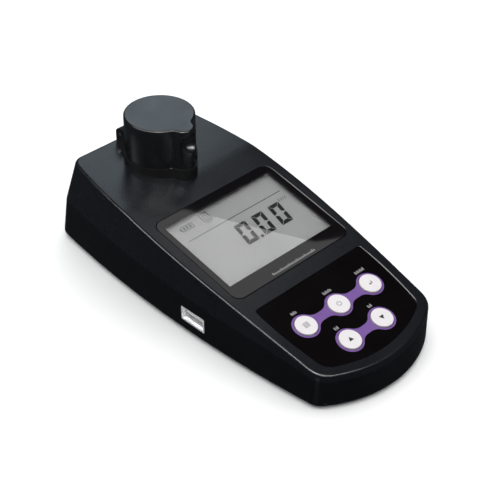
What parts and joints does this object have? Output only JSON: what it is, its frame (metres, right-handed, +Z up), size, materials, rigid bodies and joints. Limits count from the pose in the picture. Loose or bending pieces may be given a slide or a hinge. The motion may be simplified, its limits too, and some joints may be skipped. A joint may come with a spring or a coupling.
{
  "type": "portable turbidity meter",
  "caption": "Hand-held water turbidity meter: wedge-shaped case, hinged light-shield lid over a sample well, LCD window, keypad and side data socket.",
  "frame": {"origin": "middle of the footprint, on the surface the feet stand on", "axes": "+Z up; +Y from the keypad end to the sample-well end; +X to the user's right when the keypad end is nearest"},
  "size_m": [0.085, 0.1891, 0.0712],
  "materials": {
    "case_black": "satin moulded ABS",
    "lid_black": "smooth satin moulded plastic",
    "collar_black": "matt black plastic",
    "rubber_black": "soft black rubber",
    "window_black": "clear hard-coated pane with a black printed border",
    "lcd_grey": "reflective grey liquid crystal",
    "guide_white": "milky light guide",
    "frame_white": "white moulded plastic",
    "overlay_black": "satin printed polyester",
    "band_purple": "purple printed inlay",
    "key_white": "white moulded key",
    "board_green": "solder-masked circuit board",
    "chip_black": "moulded epoxy",
    "socket_steel": "bright nickel-plated sheet",
    "contact_gold": "gold-plated contact",
    "screw_steel": "zinc-plated steel",
    "pin_steel": "ground stainless steel",
    "detector_can": "plated metal can",
    "lamp_clear": "tinted clear epoxy",
    "lens_clear": "clear glass",
    "cell_jacket": "printed film jacket over a steel can",
    "contact_steel": "nickel-plated spring steel",
    "flex_amber": "polyimide flexible circuit"
  },
  "bodies": {
    "case": {"upper_case": "case_black", "lower_case": "case_black", "well_collar": "collar_black", "optical_block": "collar_black", "lamp_holder": "collar_black", "case_seal": "rubber_black", "light_seal": "rubber_black", "rubber_feet": "rubber_black", "display_window": "window_black", "lcd_panel": "lcd_grey", "backlight_guide": "guide_white", "lcd_frame": "frame_white", "usb_tongue": "frame_white", "keypad_overlay": "overlay_black", "key_band_rear": "band_purple", "key_band_front": "band_purple", "display_board": "board_green", "key_board": "board_green", "main_board": "board_green", "socket_board": "board_green", "sensor_board": "board_green", "board_chips": "chip_black", "key_switches": "chip_black", "usb_shell": "socket_steel", "usb_contacts": "contact_gold", "board_screws": "screw_steel", "case_screws": "screw_steel", "lid_hinge_pin": "pin_steel", "through_detector": "detector_can", "scatter_detector": "detector_can", "infrared_lamp": "lamp_clear", "beam_lens": "lens_clear", "battery_cells": "cell_jacket", "battery_contacts": "contact_steel", "display_flex": "flex_amber", "key_flex": "flex_amber", "sensor_flex": "flex_amber"},
    "lid": {"light_shield_lid": "lid_black"},
    "battery_cover": {"battery_cover": "case_black"},
    "key_menu": {"key_menu": "key_white"},
    "key_measure": {"key_measure": "key_white"},
    "key_enter": {"key_enter": "key_white"},
    "key_up": {"key_up": "key_white"},
    "key_down": {"key_down": "key_white"}
  },
  "joints": [
    {"name": "lid_hinge", "type": "hinge", "parent": "case", "child": "lid", "pos_m": [0, 0.0762, 0.0546], "axis": [-1, 0, 0], "range_deg": [0, 105]},
    {"name": "battery_cover_lift", "type": "slide", "parent": "case", "child": "battery_cover", "axis": [0, 0, -1], "range_m": [0, 0.025]},
    {"name": "key_menu_press", "type": "slide", "parent": "case", "child": "key_menu", "axis": [0, 0.2376, -0.9714], "range_m": [0, 0.0005], "stiffness_N_per_m": 400},
    {"name": "key_measure_press", "type": "slide", "parent": "case", "child": "key_measure", "axis": [0, 0.2376, -0.9714], "range_m": [0, 0.0005], "stiffness_N_per_m": 400},
    {"name": "key_enter_press", "type": "slide", "parent": "case", "child": "key_enter", "axis": [0, 0.2376, -0.9714], "range_m": [0, 0.0005], "stiffness_N_per_m": 400},
    {"name": "key_up_press", "type": "slide", "parent": "case", "child": "key_up", "axis": [0, 0.2376, -0.9714], "range_m": [0, 0.0005], "stiffness_N_per_m": 400},
    {"name": "key_down_press", "type": "slide", "parent": "case", "child": "key_down", "axis": [0, 0.2376, -0.9714], "range_m": [0, 0.0005], "stiffness_N_per_m": 400}
  ]
}
